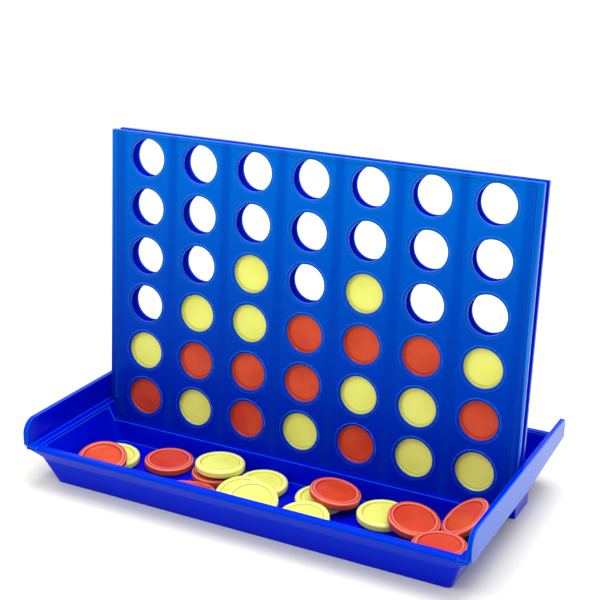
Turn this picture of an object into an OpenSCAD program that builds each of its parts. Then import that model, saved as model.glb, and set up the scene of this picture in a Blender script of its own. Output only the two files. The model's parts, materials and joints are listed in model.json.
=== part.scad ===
// Four in a row frame: an upright grid of two holed panels that leans back a little,
// pivoted on two pins between the wings of a disc tray, with its red and yellow discs.
// Millimetres. +X is the player's right, +Y is the back, +Z is up. The origin is on the
// table, in the middle of the tray's footprint.

/* [Discs] */
// Diameter of a playing disc
disc_d = 28.7; // [27:0.1:28.7]
// Thickness of a disc at its raised rim
disc_t = 4.6; // [4:0.1:5]
// Width of a disc's raised rim
disc_rim_w = 3.5; // [3:0.1:5]
// Depth of the recess inside the rim, on each face
disc_recess = 0.9; // [0.4:0.1:1.2]

/* [Board] */
// Distance between column centres
column_pitch = 35; // [34:0.5:35]
// Distance between row centres
row_pitch = 29; // [29:0.1:29.2]
// Diameter of the round windows
hole_d = 21.9; // [18:0.1:22.5]
// Width of the bevel round each window
hole_bevel = 0.8; // [0.4:0.1:1.2]
// Depth of the bevel round each window
bevel_depth = 0.4; // [0.3:0.1:0.8]
// Overall width of the board
board_w = 258.3; // [256:0.1:259]
// Thickness of each holed panel
panel_t = 2; // [1.6:0.1:2]
// Width of the slot between the panels, front to back
slot_t = 5.85; // [5.8:0.05:5.95]
// Clear width of one column
column_w = 29.4; // [29:0.1:30]
// Angle by which the board leans back from upright
board_lean = 4.2; // [4:0.1:4.4]
// Radius of the board's two lower corners
lower_corner_r = 13; // [13:0.5:16]

/* [Hinge] */
// Diameter of the pins at the board's sides
pin_d = 5; // [4:0.1:5.4]
// Radial clearance of a pin in its socket
pin_clearance = 0.05; // [0.02:0.01:0.1]
// Height of the pins above the table
pin_z = 31; // [31:0.1:31.5]

/* [Tray] */
// Overall width of the tray, over the wings
tray_w = 266.7; // [266:0.1:270]
// Overall depth of the tray
tray_d = 150; // [150:1:156]
// Height of the wings' top edge
wing_z = 38.9; // [38:0.1:44]
// Thickness of a wing
wing_t = 2.6; // [2.6:0.1:2.8]
// Thickness of the tray's floor and walls
wall_t = 2; // [1.8:0.1:2.2]
// Height of the lip that the board leans against
lip_z = 14.3; // [14:0.1:14.8]
// Height of the rear shelf's upper face
shelf_z = 11; // [10.6:0.1:11]

/* [Hidden] */
$fn = 64;
tiny = 0.01;

// Colours
tray_blue = [0.00, 0.13, 0.78];
board_blue = [0.00, 0.25, 0.85];
yellow = [0.93, 0.90, 0.35];
red = [0.85, 0.20, 0.13];

// Board, in its own frame: the origin is on the pin axis, midway between the panels
board_t = 2 * panel_t + slot_t;
rows = 6;
column_stacks = ["RY", "YRY", "RRYY", "YRR", "RYRY", "YYR", "YRY"];
columns = len(column_stacks);
column_letters = "abcdefg";
bottom_row_z = -1.7;
top_row_z = bottom_row_z + (rows - 1) * row_pitch;
board_top = top_row_z + disc_d / 2;
disc_gap = 0.3;
rail_t = 2.4;
rail_z = bottom_row_z - disc_d / 2 - disc_gap - rail_t;
pin_y = 8.6;
border_w = 3.5;
border_raise = 0.5;
top_border_w = 2;
groove_w = 0.8;
groove_depth = 0.5;
lip_ring_w = 0.8;
lip_ring_raise = 0.2;
field_t = panel_t - border_raise;
side_rail_t = 1.6;
side_rail_x = board_w / 2 - 2;
side_rail_bottom = rail_z + 6.8;
divider_wall_t = 1.4;
divider_web_t = 1.2;
divider_top = board_top - 1.5;

// Tray: half widths, and the heights and depths of its walls
half_w = tray_w / 2;
half_d = tray_d / 2;
wing_x = half_w - wing_t;
flange_z = 23.5;
flange_rise = 5;
flange_x = 126.9;
floor_front = -half_d + 10.8;
floor_half_w = 120;
lip_front = -4.5;
lip_back = 2;
lip_rear_wall = -5.8;
shelf_half_w = 125.5;
shelf_back_half_w = 121;
shelf_back = half_d - 4;
back_wall_t = 3;
back_wall_z = 28.5;
wing_corner_r = 8.5;
rim_r = 1.6;
tub_corner_r = 3;
hollow_corner_r = 5;
lip_drop = 1.3;
socket_depth = 1.6;
pin_end_gap = 0.15;
foot_x = [103, 125.2];
foot_y = [17.7, 39.5];

// Loose discs in the tray: colour, centre, tilt and the direction that it tilts towards
tray_discs = [
    ["R", [-101.5, -45.5, 10.1], 14, -64],
    ["Y", [-102.5, -31.5, 5], 3, -24],
    ["R", [-71.5, -21.5, 5], 2, -15],
    ["Y", [-38, -20, 10.3], 2, 68],
    ["R", [-40, -20.5, 4.7], 1, -56],
    ["R", [-39.7, -50.3, 8.1], 17, 97],
    ["Y", [-10, -20.5, 5], 2, -65],
    ["Y", [-12.5, -41, 7.6], 14, -90],
    ["Y", [-0.5, -49.5, 10.8], 16, -60],
    ["Y", [26.5, -20.5, 4.7], 1, -35],
    ["Y", [30, -48.5, 7.1], 9, -90],
    ["R", [35, -20, 10.4], 10, 10],
    ["Y", [64, -21, 5], 2, -45],
    ["R", [83.5, -25, 8.9], 13, -20],
    ["R", [110, -18.7, 14.1], 34, -153],
    ["R", [106.5, -46.8, 10.8], 1, 107],
];

function colour_name(letter) = letter == "R" ? "red" : "yellow";
function colour_of(letter) = letter == "R" ? red : yellow;
function column_x(c) = (c - (columns - 1) / 2) * column_pitch;
function row_z(level) = bottom_row_z + level * row_pitch;
function column_disc_name(c, level) =
    str(colour_name(column_stacks[c][level]), "_disc_", column_letters[c], level + 1);
function tray_disc_name(i) = str(colour_name(tray_discs[i][0]), "_tray_disc_", i + 1);
function column_disc_names() =
    [for (c = [0 : columns - 1]) for (level = [0 : len(column_stacks[c]) - 1]) column_disc_name(c, level)];
function tray_disc_names() = [for (i = [0 : len(tray_discs) - 1]) tray_disc_name(i)];

// ---- Discs ----

// One disc lying flat about the origin: a web, and a rim with rounded edges
module disc() {
    round_r = 1.4;
    rim_in = disc_d / 2 - disc_rim_w;
    web_t = disc_t - 2 * disc_recess;
    rotate_extrude() {
        translate([0, -web_t / 2]) square([rim_in + round_r, web_t]);
        translate([rim_in, -disc_t / 2 + round_r]) square([disc_rim_w, disc_t - 2 * round_r]);
        translate([rim_in + round_r, -disc_t / 2]) square([disc_rim_w - 2 * round_r, disc_t]);
        for (x = [rim_in + round_r, disc_d / 2 - round_r]) {
            for (y = [-1, 1]) translate([x, y * (disc_t / 2 - round_r)]) circle(r = round_r);
        }
    }
}

// A disc in the board: c is its column, level is its place from the bottom
module column_disc(c, level) {
    color(colour_of(column_stacks[c][level]))
        in_board() translate([column_x(c), 0, row_z(level)]) rotate([90, 0, 0]) disc();
}

// A loose disc in the tray
module tray_disc(i) {
    place = tray_discs[i];
    color(colour_of(place[0]))
        translate(place[1]) rotate([0, 0, place[3]]) rotate([0, place[2], 0]) disc();
}

// ---- Board ----

// Puts the board's own frame on the pin axis, leaning back
module in_board() {
    translate([0, pin_y, pin_z]) rotate([-board_lean, 0, 0]) children();
}

// Upright outline of a panel, drawn in X and Z
module panel_outline() {
    straight = board_w - 2 * lower_corner_r;
    translate([-straight / 2, rail_z]) square([straight, lower_corner_r]);
    translate([-board_w / 2, rail_z + lower_corner_r]) square([board_w, board_top - rail_z - lower_corner_r]);
    for (side = [-1, 1]) {
        translate([side * straight / 2, rail_z + lower_corner_r]) circle(r = lower_corner_r);
    }
}

// Raised border along a panel's top and sides, drawn in X and Z
module border_outline() {
    translate([-board_w / 2, board_top - top_border_w]) square([board_w, top_border_w]);
    for (side = [-1, 1]) {
        translate([side * (board_w - border_w) / 2 - border_w / 2, rail_z + lower_corner_r])
            square([border_w, board_top - rail_z - lower_corner_r]);
    }
}

// Places children at each window, with Z pointing out of the front panel's outer face
module at_windows() {
    for (c = [0 : columns - 1]) {
        for (level = [0 : rows - 1]) translate([column_x(c), 0, row_z(level)]) rotate([90, 0, 0]) children();
    }
}

// A panel whose outer face looks towards -Y, with a bevelled and rimmed window at each place
module grid_panel() {
    ring_r = hole_d / 2 + hole_bevel + lip_ring_w;
    difference() {
        union() {
            translate([0, -slot_t / 2, 0]) rotate([90, 0, 0]) linear_extrude(field_t) panel_outline();
            translate([0, -slot_t / 2, 0]) rotate([90, 0, 0]) linear_extrude(panel_t) border_outline();
            at_windows() translate([0, 0, slot_t / 2]) cylinder(r = ring_r, h = field_t + lip_ring_raise);
        }
        at_windows() {
            cylinder(d = hole_d, h = board_t);
            translate([0, 0, slot_t / 2 + field_t - bevel_depth])
                cylinder(d1 = hole_d, d2 = hole_d + 4 * hole_bevel, h = 2 * bevel_depth);
        }
        for (side = [-1, 1]) {
            groove_x = side * (board_w / 2 - border_w - groove_w / 2);
            translate([groove_x - groove_w / 2, -board_t / 2, rail_z + lower_corner_r])
                cube([groove_w, border_raise + groove_depth, board_top - top_border_w - rail_z - lower_corner_r]);
        }
    }
}

module front_grid() {
    color(board_blue) in_board() grid_panel();
}

module back_grid() {
    color(board_blue) in_board() mirror([0, 1, 0]) grid_panel();
}

// Channel between two columns: two thin walls joined by a web at the back
module divider(x) {
    width = column_pitch - column_w;
    height = divider_top - rail_z - rail_t;
    translate([x - width / 2, -slot_t / 2, rail_z + rail_t]) difference() {
        cube([width, slot_t, height]);
        translate([divider_wall_t, -tiny, -tiny])
            cube([width - 2 * divider_wall_t, slot_t - divider_web_t, height + 2 * tiny]);
    }
}

// Single wall at the outer side of the first and the last column
module end_wall(side) {
    x = side * (column_x(columns - 1) + column_w / 2 + divider_wall_t / 2);
    height = divider_top - rail_z - rail_t;
    translate([x - divider_wall_t / 2, -slot_t / 2, rail_z + rail_t]) cube([divider_wall_t, slot_t, height]);
}

module column_dividers() {
    color(board_blue) in_board() {
        for (c = [0 : columns - 2]) divider((column_x(c) + column_x(c + 1)) / 2);
        for (side = [-1, 1]) end_wall(side);
    }
}

// Floor of the columns
module bottom_rail() {
    length = board_w - 2 * lower_corner_r;
    color(board_blue) in_board()
        translate([-length / 2, -slot_t / 2, rail_z]) cube([length, slot_t, rail_t]);
}

// Wall set back between the panels' edges, with the hinge pin moulded on it
module side_rail(side) {
    pin_end = wing_x + socket_depth - pin_end_gap;
    color(board_blue) in_board() {
        translate([side * (side_rail_x - side_rail_t / 2) - side_rail_t / 2, -slot_t / 2, side_rail_bottom])
            cube([side_rail_t, slot_t, divider_top - side_rail_bottom]);
        rotate([0, side * 90, 0]) translate([0, 0, side_rail_x - side_rail_t / 2])
            cylinder(d = pin_d, h = pin_end - side_rail_x + side_rail_t / 2);
    }
}

module left_side_rail() side_rail(-1);

module right_side_rail() side_rail(1);

// ---- Tray ----

// Closed solid over corners that are given on the right and mirrored to the left
module tub(corners, r) {
    hull() for (side = [-1, 1]) {
        for (p = corners) translate([side * (p.x - r), p.y, p.z]) cylinder(r = r, h = tiny, $fn = 32);
    }
}

// Outside of the front compartment, which flares towards its rim
module compartment_body() {
    r = tub_corner_r;
    tub([
        [floor_half_w, floor_front + r, 0],
        [floor_half_w, lip_rear_wall + wall_t - r, 0],
        [flange_x + 1.5, -half_d + 3.1 + r, flange_z - 1.8],
        [flange_x + 1.5, lip_front + wall_t - r, flange_z - 1.8],
    ], r);
}

// Inside of the front compartment
module compartment_hollow() {
    r = hollow_corner_r;
    tub([
        [floor_half_w - wall_t, floor_front + 1.8 + r, wall_t],
        [floor_half_w - wall_t, lip_rear_wall - r, wall_t],
        [flange_x, -half_d + 6.4 + r, flange_z + 1],
        [flange_x, lip_front - r + 0.6, flange_z + 1],
    ], r);
}

// Outside of the raised rear shelf
module shelf_body() {
    r = 1;
    tub([
        [shelf_half_w, lip_front + 1 + r, shelf_z - wall_t],
        [shelf_back_half_w, shelf_back - r, shelf_z - wall_t],
        [half_w - 0.8, lip_front + 1 + r, flange_z - 1],
        [half_w - 0.8, half_d - r, flange_z + flange_rise - 1],
    ], r);
}

// Inside of the rear shelf, where the board's lower end swings
module shelf_hollow() {
    r = 1;
    tub([
        [shelf_half_w - 1, lip_back + r, shelf_z],
        [shelf_back_half_w - wall_t, shelf_back - back_wall_t - r, shelf_z],
        [wing_x, lip_back + r, flange_z + 0.2],
        [wing_x, half_d - back_wall_t - r, flange_z + flange_rise + 1],
        [wing_x, lip_back + r, wing_z],
        [wing_x, half_d - back_wall_t - r, wing_z],
    ], r);
}

// Space over the lip, as wide as the compartment there; the lip's top falls away towards the board
module lip_hollow() {
    low_x = 122.8;
    translate([0, lip_back + 1, 0]) rotate([90, 0, 0]) linear_extrude(lip_back - lip_front + 2)
        polygon([[-low_x, lip_z], [low_x, lip_z], [flange_x, flange_z + 1], [-flange_x, flange_z + 1]]);
    translate([-low_x, 0, 0]) rotate([90, 0, 90]) linear_extrude(2 * low_x)
        polygon([[lip_front, lip_z], [lip_back, lip_z - lip_drop], [lip_back, lip_z + 1], [lip_front, lip_z + 1]]);
}

// Ledge between a side wall and its wing, which rises behind the board
module flange(side) {
    inner_x = flange_x - 1;
    width = half_w - inner_x - wing_t / 2;
    back_top = flange_z + flange_rise;
    translate([side * (inner_x + width / 2) - width / 2, 0, 0]) rotate([90, 0, 90]) linear_extrude(width)
        polygon([
            [-half_d + 0.6, flange_z - 1.8],
            [10, flange_z - 1.2],
            [half_d, back_top - 1],
            [half_d, back_top],
            [10, flange_z],
            [-half_d + 0.6, flange_z],
        ]);
}

// Upright wing with a rounded front corner
module wing(side) {
    r = wing_corner_r;
    translate([side * (wing_x + wing_t / 2) - wing_t / 2, 0, 0]) rotate([90, 0, 90]) linear_extrude(wing_t) {
        polygon([
            [-half_d + 1.5, flange_z - 1],
            [-half_d, flange_z + 1],
            [-half_d, wing_z - r],
            [-half_d + r, wing_z - r],
            [-half_d + r, wing_z],
            [half_d - 1.5, wing_z],
            [half_d, wing_z - 1.5],
            [half_d, flange_z + flange_rise - 1],
            [10, flange_z - 1],
        ]);
        translate([-half_d + r, wing_z - r]) circle(r = r);
    }
}

// Rounded bead along the front rim, which runs down into the front wall
module front_rim() {
    y = -half_d + 1.6 + rim_r;
    z = flange_z - rim_r;
    low_r = 1;
    low_half_w = floor_half_w - tub_corner_r;
    hull() {
        for (p = [[y, z, rim_r, wing_x], [y + 2, z, rim_r, wing_x], [y + 4.1, z - 8, low_r, low_half_w]]) {
            translate([-p[3], p[0], p[1]]) rotate([0, 90, 0]) cylinder(r = p[2], h = 2 * p[3], $fn = 48);
        }
    }
}

// Upper part of the rear wall
module back_wall() {
    low_z = flange_z + flange_rise - 1.5;
    translate([-wing_x - 1, half_d - back_wall_t, low_z])
        cube([2 * wing_x + 2, back_wall_t, back_wall_z - low_z]);
}

// Hollow foot under the shelf, open below
module foot(side) {
    size = [foot_x[1] - foot_x[0], foot_y[1] - foot_y[0], shelf_z - wall_t + 1];
    translate([side * (foot_x[0] + size.x / 2) - size.x / 2, foot_y[0], 0]) difference() {
        cube(size);
        translate([wall_t, wall_t, -1]) cube([size.x - 2 * wall_t, size.y - 2 * wall_t, shelf_z - wall_t + 1]);
    }
}

module tray() {
    color(tray_blue) difference() {
        union() {
            compartment_body();
            shelf_body();
            front_rim();
            back_wall();
            for (side = [-1, 1]) {
                flange(side);
                wing(side);
                foot(side);
            }
        }
        compartment_hollow();
        lip_hollow();
        shelf_hollow();
        for (side = [-1, 1]) {
            translate([0, pin_y, pin_z]) rotate([0, side * 90, 0]) translate([0, 0, wing_x - 1])
                cylinder(d = pin_d + 2 * pin_clearance, h = socket_depth + 1);
        }
    }
}

tray();
front_grid();
back_grid();
column_dividers();
bottom_rail();
left_side_rail();
right_side_rail();
for (c = [0 : columns - 1]) for (level = [0 : len(column_stacks[c]) - 1]) {
    column_disc(c, level);
}
for (i = [0 : len(tray_discs) - 1]) {
    tray_disc(i);
}
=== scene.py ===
"""Four in a row frame: the looks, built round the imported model."""

import json
import math

import bmesh
import bpy
import numpy as np
from mathutils import Matrix, Vector


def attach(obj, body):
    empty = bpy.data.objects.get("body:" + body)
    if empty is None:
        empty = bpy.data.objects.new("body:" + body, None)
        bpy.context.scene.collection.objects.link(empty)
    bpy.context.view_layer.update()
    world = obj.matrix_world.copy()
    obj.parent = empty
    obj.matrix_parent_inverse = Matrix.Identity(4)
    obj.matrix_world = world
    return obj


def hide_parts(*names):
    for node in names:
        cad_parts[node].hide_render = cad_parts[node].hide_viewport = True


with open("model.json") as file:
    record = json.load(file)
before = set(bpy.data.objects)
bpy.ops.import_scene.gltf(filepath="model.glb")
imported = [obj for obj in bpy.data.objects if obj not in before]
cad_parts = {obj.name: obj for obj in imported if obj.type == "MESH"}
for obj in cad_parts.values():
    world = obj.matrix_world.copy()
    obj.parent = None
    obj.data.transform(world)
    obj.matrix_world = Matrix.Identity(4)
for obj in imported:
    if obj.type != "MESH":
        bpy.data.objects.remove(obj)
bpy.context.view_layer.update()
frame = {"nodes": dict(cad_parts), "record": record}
nodes = frame["nodes"]
MM = 0.001

# The board's own frame: the origin is on the pin axis, Z runs up the leaning board
LEAN = math.radians(4.2)
PIN_Y = 8.6 * MM
PIN_Z = 31 * MM
BOARD = Matrix.Translation((0, PIN_Y, PIN_Z)) @ Matrix.Rotation(-LEAN, 4, "X")
BOARD_HALF_W = 129.15 * MM
BOARD_TOP = 157.65 * MM
HALF_PITCH = 17.5 * MM  # half of the distance between two columns


# ---------------------------------------------------------------- materials

class Shader:
    """A material with one Principled shader, and short ways to add the nodes that drive it."""

    def __init__(self, name, values):
        self.mat = bpy.data.materials.new(name)
        self.mat.use_nodes = True
        tree = self.mat.node_tree
        tree.nodes.clear()
        self.new = tree.nodes.new
        self.link = tree.links.new
        self.bsdf = self.new("ShaderNodeBsdfPrincipled")
        self.link(self.bsdf.outputs["BSDF"], self.new("ShaderNodeOutputMaterial").inputs["Surface"])
        for socket, value in values.items():
            self.bsdf.inputs[socket].default_value = value
        self.coord = self.new("ShaderNodeTexCoord").outputs["Object"]

    def noise(self, scale, detail, stretch=(1, 1, 1)):
        mapping = self.new("ShaderNodeMapping")
        mapping.inputs["Scale"].default_value = stretch
        self.link(self.coord, mapping.inputs["Vector"])
        tex = self.new("ShaderNodeTexNoise")
        tex.inputs["Scale"].default_value = scale
        tex.inputs["Detail"].default_value = detail
        self.link(mapping.outputs["Vector"], tex.inputs["Vector"])
        return tex.outputs["Fac"]

    def spread(self, value, lo, hi, to_lo, to_hi, smooth=False):
        """Maps lo..hi to to_lo..to_hi and clamps."""
        node = self.new("ShaderNodeMapRange")
        node.interpolation_type = "SMOOTHSTEP" if smooth else "LINEAR"
        node.inputs["From Min"].default_value = lo
        node.inputs["From Max"].default_value = hi
        node.inputs["To Min"].default_value = to_lo
        node.inputs["To Max"].default_value = to_hi
        self.link(value, node.inputs["Value"])
        return node.outputs["Result"]

    def maths(self, kind, a, b=0.0):
        node = self.new("ShaderNodeMath")
        node.operation = kind
        for socket, value in zip(node.inputs, (a, b)):
            if isinstance(value, (int, float)):
                socket.default_value = value
            else:
                self.link(value, socket)
        return node.outputs[0]

    def away(self, value, middle):
        """How far value is from middle."""
        return self.maths("ABSOLUTE", self.maths("SUBTRACT", value, middle))

    def blend(self, factor, a, b):
        """The colour a where factor is 0, and b where it is 1."""
        mix = self.new("ShaderNodeMix")
        mix.data_type = "RGBA"
        self.link(factor, mix.inputs["Factor"])
        for socket, value in ((mix.inputs[6], a), (mix.inputs[7], b)):
            if isinstance(value, tuple):
                socket.default_value = (*value, 1)
            else:
                self.link(value, socket)
        return mix.outputs[2]

    def position(self):
        """X, Y and Z of the point, in metres."""
        split = self.new("ShaderNodeSeparateXYZ")
        self.link(self.coord, split.inputs["Vector"])
        return split.outputs

    def from_divider(self):
        """Distance along X to the middle of the nearest divider."""
        return self.maths("PINGPONG", self.maths("SUBTRACT", self.position()["X"], HALF_PITCH), HALF_PITCH)


def plastic(name, base, deep, tint, edge, roughness=0.22, bump=0.08, grain=900, level=0.5, gloss=0.7,
            translucency=0.0, ribs=False, painted_light=None):
    """Moulded plastic with fine grain, flow marks and faint scuffs.

    base is the colour, deep is the darker tone of the random flow marks and, with ribs, the painted shade in
    front of the dividers; tint is the gloss seen head on.
    edge = (width in mm, colour, strength): a painted highlight along its edges and creases; the width also
    rounds the shading normals there.
    With ribs, shallow sink marks run up the face in front of each divider.
    The paint function (shader, colour) adds the painted light and shade that only this piece has.
    """
    s = Shader(name, {
        "IOR": 1.5,
        "Specular IOR Level": level,
        "Specular Tint": (*tint, 1),
        "Coat Roughness": 0.2,
        "Coat IOR": 2.2,
        "Subsurface Weight": translucency,
        "Subsurface Radius": (1.0, 0.6, 0.3),
        "Subsurface Scale": 2 * MM,
    })

    # Gloss grows at grazing angles
    weight = s.new("ShaderNodeLayerWeight")
    weight.inputs["Blend"].default_value = 0.5
    s.link(s.spread(weight.outputs["Facing"], 0.52, 0.8, 0.0, gloss, True), s.bsdf.inputs["Coat Weight"])

    cloud = s.noise(22, 3)
    flow = s.noise(60, 4, (1, 1, 0.25))
    tone_and_rib_shade = s.spread(s.maths("ADD", cloud, s.maths("MULTIPLY", flow, 0.5)), 0.5, 1.0, 0.0, 1.0)
    scuff = s.spread(s.noise(700, 6, (1, 0.1, 0.4)), 0.70, 0.80, 0.0, 1.0)
    height = s.maths("ADD", s.noise(grain, 2), s.maths("MULTIPLY", scuff, -0.1))
    height = s.maths("ADD", height, s.maths("MULTIPLY", cloud, 1.5))
    if ribs:
        from_rib = s.from_divider()
        sink = s.spread(s.away(from_rib, 2.1 * MM), 0.0, 1.6 * MM, 1.0, 0.0, True)
        height = s.maths("ADD", height, s.maths("MULTIPLY", sink, -0.9))
        # Painted shade: the colour darkens towards deep in front of each divider, in place of the sink
        # marks' shade.
        rib_shade = s.spread(from_rib, 1.8 * MM, 4.2 * MM, 0.6, 0.0, True)
        tone_and_rib_shade = s.maths("ADD", tone_and_rib_shade, rib_shade)

    colour = s.blend(tone_and_rib_shade, base, deep)
    # The piece's own painted light and shade.
    if painted_light:
        colour = painted_light(s, colour)

    # Painted highlight: the colour turns paler along edges and creases, found with the Bevel node that also
    # rounds their shading.
    edge_width, edge_highlight_colour, edge_highlight_strength = edge
    rounded = s.new("ShaderNodeBevel")
    rounded.samples = 6
    rounded.inputs["Radius"].default_value = edge_width * MM
    turned = s.new("ShaderNodeVectorMath")
    turned.operation = "DOT_PRODUCT"
    s.link(rounded.outputs["Normal"], turned.inputs[0])
    s.link(s.new("ShaderNodeNewGeometry").outputs["True Normal"], turned.inputs[1])
    edge_highlight_mask = s.spread(turned.outputs["Value"], 0.80, 0.99, 1.0, 0.0, True)
    colour = s.blend(s.maths("MULTIPLY", edge_highlight_mask, edge_highlight_strength), colour, edge_highlight_colour)
    s.link(colour, s.bsdf.inputs["Base Color"])

    smear = s.spread(s.noise(35, 5), 0.35, 0.75, -0.04, 0.06)
    rough = s.maths("ADD", s.maths("ADD", smear, roughness), s.maths("MULTIPLY", scuff, 0.06))
    s.link(rough, s.bsdf.inputs["Roughness"])
    bumper = s.new("ShaderNodeBump")
    bumper.inputs["Strength"].default_value = bump
    bumper.inputs["Distance"].default_value = 0.4 * MM
    s.link(height, bumper.inputs["Height"])
    s.link(rounded.outputs["Normal"], bumper.inputs["Normal"])
    s.link(bumper.outputs["Normal"], s.bsdf.inputs["Normal"])
    return s.mat


def tray_painted_reflection(s, colour):
    """Painted reflection: paler azure on the outer skin of the tray's ends, and on the front wall up to the
    rim.
    """
    x, y, z = s.position()
    # Painted reflection on the outer faces of the ends.
    end = s.spread(s.maths("ABSOLUTE", x), 131.9 * MM, 132.9 * MM, 0.0, 1.0, True)
    colour = s.blend(end, colour, (0.0, 0.085, 0.64))
    # Painted reflection on the front wall, strongest at the rim.
    front = s.spread(y, -74.5 * MM, -63 * MM, 0.9, 0.0)
    return s.blend(front, colour, (0.0, 0.032, 0.52))


def board_painted_light(s, colour):
    """Painted light and shade: paler upward, painted shade in front of the dividers, and a brighter blue
    painted on the faces between the panels.
    """
    x, y, z = s.position()
    # Painted light: paler and more azure towards the top of the board.
    colour = s.blend(s.spread(z, 10 * MM, 220 * MM, 0.0, 1.0, True), colour, (0.0, 0.115, 0.54))
    # Painted shade in front of each divider.
    divider_shade = s.spread(s.from_divider(), 1.2 * MM, 4.4 * MM, 0.42, 0.0, True)
    colour = s.blend(divider_shade, colour, (0.0, 0.028, 0.36))
    # Distance from the board's middle plane, which leans
    depth = s.maths("MULTIPLY", s.maths("SUBTRACT", y, PIN_Y), math.cos(LEAN))
    rise = s.maths("MULTIPLY", s.maths("SUBTRACT", z, PIN_Z), math.sin(LEAN))
    # Painted light: the faces in the shaded slot between the panels get a brighter blue.
    slot_light = s.spread(s.away(depth, rise), 3.4 * MM, 4.2 * MM, 1.0, 0.0, True)
    return s.blend(slot_light, colour, (0.0, 0.014, 0.60))


def disc_painted_light(recess_shade, shoulder_highlight):
    """Painted shade in the corner of a disc's recess, and painted highlights on the shoulders of its rim."""
    corner = 10.9 * MM
    shoulders = (12.0 * MM, 13.8 * MM)

    def painted_light(s, colour):
        flatten = s.new("ShaderNodeVectorMath")
        flatten.operation = "MULTIPLY"
        flatten.inputs[1].default_value = (1, 1, 0)
        s.link(s.coord, flatten.inputs[0])
        length = s.new("ShaderNodeVectorMath")
        length.operation = "LENGTH"
        s.link(flatten.outputs["Vector"], length.inputs[0])
        # Painted shade at the recess's corner, and painted highlights on the rim's two shoulders.
        rings = [(corner, 0.8, recess_shade)]
        rings += [(shoulder, 0.6, shoulder_highlight) for shoulder in shoulders]
        for radius, strength, tone in rings:
            off = s.away(length.outputs["Value"], radius)
            colour = s.blend(s.spread(off, 0.1 * MM, 0.6 * MM, strength, 0.0, True), colour, tone)
        return colour

    return painted_light


# Painted highlight colours for the discs' edges and the shoulders of their rims.
RED_HIGHLIGHT = (0.95, 0.34, 0.26)
YELLOW_HIGHLIGHT = (0.92, 0.90, 0.42)
# In each material, the edge colour is a painted highlight, and the paint function adds that piece's painted
# light and shade.
TRAY_BLUE = plastic(
    "tray_plastic", base=(0.0, 0.003, 0.60), deep=(0.0, 0.0015, 0.50), tint=(0.0, 0.5, 1.0),
    edge=(0.8, (0.01, 0.22, 0.78), 0.85), level=0.06, gloss=0.48, painted_light=tray_painted_reflection,
)
BOARD_BLUE = plastic(
    "board_plastic", base=(0.0, 0.012, 0.39), deep=(0.0, 0.007, 0.33), tint=(0.0, 0.45, 1.0),
    edge=(0.7, (0.04, 0.30, 0.92), 0.75), roughness=0.24, bump=0.10, level=0.1, ribs=True, painted_light=board_painted_light,
)
RED = plastic(
    "red_plastic", base=(0.64, 0.070, 0.026), deep=(0.52, 0.040, 0.015), tint=(1.0, 0.5, 0.3),
    edge=(0.5, RED_HIGHLIGHT, 0.6), roughness=0.14, bump=0.05, grain=1200, level=0.4, gloss=0.9,
    translucency=0.15, painted_light=disc_painted_light((0.46, 0.025, 0.012), RED_HIGHLIGHT),
)
YELLOW = plastic(
    "yellow_plastic", base=(0.80, 0.83, 0.17), deep=(0.72, 0.74, 0.12), tint=(1.0, 1.0, 0.7),
    edge=(0.5, YELLOW_HIGHLIGHT, 0.6), roughness=0.14, bump=0.05, grain=1200, level=0.4, gloss=0.9,
    translucency=0.15, painted_light=disc_painted_light((0.56, 0.55, 0.07), YELLOW_HIGHLIGHT),
)


# ---------------------------------------------------------------- discs

def disc_face(web, half):
    """The disc's face as (radius, height) in mm: flat web, one faint ring, and the step up to the rim."""
    ring = ((8.6, 0), (9.0, 0.03), (9.2, 0.1), (9.5, 0.12), (9.8, 0.1), (10.0, 0.03), (10.5, 0))
    step = ((10.8, 0.04), (10.98, 0.16), (11.1, 0.34), (11.2, 0.52))
    step += ((11.34, 0.68), (11.54, 0.81), (11.8, 0.87))
    points = [(0, web), (3, web), (6, web)]
    points += [(r, web + rise) for r, rise in ring + step]
    points.append((12.1, half))
    return points


def disc_mesh(name, material):
    """A disc about the origin, axis along Z: raised rounded rim, recessed faces, one faint ring."""
    radius = 14.35
    half = 2.3
    web = 1.4
    round_r = 1.5
    round_steps = 8
    seam_half = 0.25
    seam_depth = 0.06
    segments = 80
    face = disc_face(web, half)
    for i in range(round_steps + 1):
        a = math.radians(90 - 90 * i / round_steps)
        face.append((radius - round_r + round_r * math.cos(a), half - round_r + round_r * math.sin(a)))
    seam = [(radius, seam_half), (radius - seam_depth, 0.0), (radius, -seam_half)]
    profile = face + seam + [(r, -z) for r, z in reversed(face)]

    bm = bmesh.new()
    rings = []
    for r, z in profile:
        if r == 0:
            rings.append([bm.verts.new((0, 0, z))])
        else:
            turns = [2 * math.pi * k / segments for k in range(segments)]
            rings.append([bm.verts.new((r * math.cos(t), r * math.sin(t), z)) for t in turns])
    for a, b in zip(rings, rings[1:]):
        for k in range(segments):
            j = (k + 1) % segments
            if len(a) == 1:
                bm.faces.new((a[0], b[k], b[j]))
            elif len(b) == 1:
                bm.faces.new((a[k], b[0], a[j]))
            else:
                bm.faces.new((a[k], b[k], b[j], a[j]))
    bmesh.ops.recalc_face_normals(bm, faces=bm.faces)
    bmesh.ops.scale(bm, vec=(MM, MM, MM), verts=bm.verts)
    mesh = bpy.data.meshes.new(name)
    bm.to_mesh(mesh)
    bm.free()
    mesh.materials.append(material)
    mesh.shade_smooth()
    return mesh


def disc_place(node):
    """Centre and axis of a CAD disc, from its own vertices."""
    vertices = nodes[node].data.vertices
    flat = np.empty(len(vertices) * 3)
    vertices.foreach_get("co", flat)
    points = flat.reshape(-1, 3)
    centre = (points.min(0) + points.max(0)) / 2
    axis = np.linalg.svd(points - points.mean(0), full_matrices=False)[2][2]
    axis = axis if axis[2] > 0 else -axis
    return Vector(centre), Vector(axis)


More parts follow.
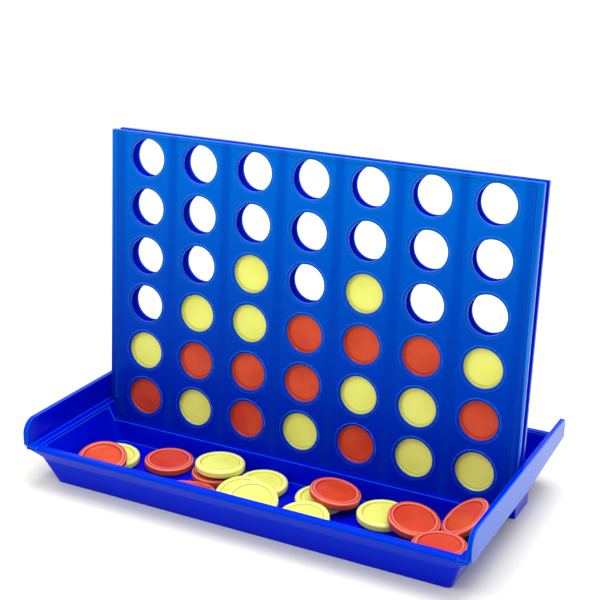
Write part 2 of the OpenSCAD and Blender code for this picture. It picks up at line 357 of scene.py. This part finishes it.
DISC_MESHES = {"red": disc_mesh("red_disc", RED), "yellow": disc_mesh("yellow_disc", YELLOW)}
BODY_OF = {n: b for b, names in frame["record"]["behaviour"]["bodies"].items() for n in names}
TURN_STEP = 2.4  # radians from one disc to the next, so that no two show the same grain
for index, node in enumerate(sorted(n for n in nodes if "disc" in n)):
    colour = node.split("_")[0]
    obj = bpy.data.objects.new(node + "_look", DISC_MESHES[colour])
    bpy.context.scene.collection.objects.link(obj)
    centre, axis = disc_place(node)
    turn = Matrix.Rotation(index * TURN_STEP, 4, "Z")
    obj.matrix_world = Matrix.Translation(centre) @ axis.to_track_quat("Z", "Y").to_matrix().to_4x4() @ turn
    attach(obj, BODY_OF[node])
    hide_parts(node)


# ---------------------------------------------------------------- CAD nodes that stay

TO_BOARD = BOARD.inverted()
ON_EDGE = 0.05 * MM


def on_panel_rim(point):
    """True on the top edge of a holed panel, and on its side edges down to just below the pins."""
    p = TO_BOARD @ point
    on_side = abs(p.x) > BOARD_HALF_W - ON_EDGE and p.z > -5 * MM
    return on_side or p.z > BOARD_TOP - ON_EDGE


def bevel(obj, name, width, segments, clamp):
    """Adds a bevel modifier with its width in mm."""
    mod = obj.modifiers.new(name, "BEVEL")
    mod.width = width * MM
    mod.segments = segments
    mod.use_clamp_overlap = clamp
    mod.harden_normals = True
    return mod


def soften(obj, width, segments=2, clamp=False, rim_width=0.0):
    """Rounds the hard edges of a piece, and, with a rim_width, the outer rim of a holed panel more so."""
    weld = obj.modifiers.new("weld", "WELD")
    weld.merge_threshold = 0.02 * MM
    if rim_width:
        group = obj.vertex_groups.new(name="rim")
        group.add([v.index for v in obj.data.vertices if on_panel_rim(v.co)], 1.0, "REPLACE")
        rim = bevel(obj, "rim_bevel", rim_width, 4, False)
        rim.limit_method = "VGROUP"
        rim.vertex_group = "rim"
    hard = bevel(obj, "bevel", width, segments, clamp)
    hard.limit_method = "ANGLE"
    hard.angle_limit = math.radians(30)
    hard.miter_outer = "MITER_ARC"


def dress(node, material):
    """Gives a CAD node its finish."""
    obj = nodes[node]
    for slot in obj.material_slots:
        slot.material = material
    return obj


soften(dress("tray", TRAY_BLUE), 0.35, segments=3, clamp=True)
for node in ("front_grid", "back_grid"):
    soften(dress(node, BOARD_BLUE), 0.18, rim_width=0.6)
for node in ("column_dividers", "bottom_rail", "left_side_rail", "right_side_rail"):
    soften(dress(node, BOARD_BLUE), 0.3)


# ---------------------------------------------------------------- floor, lights, camera

def floor():
    """A pale round table top, which fades into the studio's white."""
    mat = bpy.data.materials.new("floor")
    mat.use_nodes = True
    bsdf = mat.node_tree.nodes["Principled BSDF"]
    bsdf.inputs["Base Color"].default_value = (0.69, 0.68, 0.605, 1)
    bsdf.inputs["Roughness"].default_value = 0.6
    bm = bmesh.new()
    bmesh.ops.create_circle(bm, cap_ends=True, segments=96, radius=0.9)
    mesh = bpy.data.meshes.new("floor")
    bm.to_mesh(mesh)
    bm.free()
    mesh.materials.append(mat)
    obj = bpy.data.objects.new("floor", mesh)
    bpy.context.scene.collection.objects.link(obj)


def studio_white():
    """Even white light from all round, and a white background."""
    world = bpy.data.worlds.new("studio")
    bpy.context.scene.world = world
    world.use_nodes = True
    background = world.node_tree.nodes["Background"]
    background.inputs["Color"].default_value = (1, 1, 1, 1)
    background.inputs["Strength"].default_value = 1.0


def area_light(name, place, target, size, power):
    """A white rectangular lamp at place that faces target."""
    data = bpy.data.lights.new(name, "AREA")
    data.shape = "RECTANGLE"
    data.size, data.size_y = size
    data.energy = power
    obj = bpy.data.objects.new(name, data)
    obj.location = place
    obj.rotation_euler = (Vector(target) - Vector(place)).to_track_quat("-Z", "Y").to_euler()
    bpy.context.scene.collection.objects.link(obj)


def camera():
    """The camera stands in front of the tray, to its right and above it."""
    data = bpy.data.cameras.new("camera")
    data.lens = 77.32
    data.sensor_width = 36
    data.clip_start = 0.01
    obj = bpy.data.objects.new("camera", data)
    right = Vector((0.8866, 0.4624, 0.0089))
    down = Vector((0.1604, -0.2893, -0.9437))
    forward = Vector((-0.4338, 0.8381, -0.3307))
    turn = Matrix((right, -down, -forward)).transposed()
    obj.matrix_world = Matrix.Translation((0.3060, -0.5875, 0.3424)) @ turn.to_4x4()
    bpy.context.scene.collection.objects.link(obj)
    bpy.context.scene.camera = obj


bpy.context.scene.view_settings.view_transform = "Standard"
studio_white()
floor()
area_light("overhead", (0.2, 0.4, 2.0), (0, 0, 0.05), (1.8, 1.5), 46)
area_light("board_top", (-0.05, -0.32, 0.52), (0, 0.02, 0.17), (0.35, 0.2), 1.0)
camera()
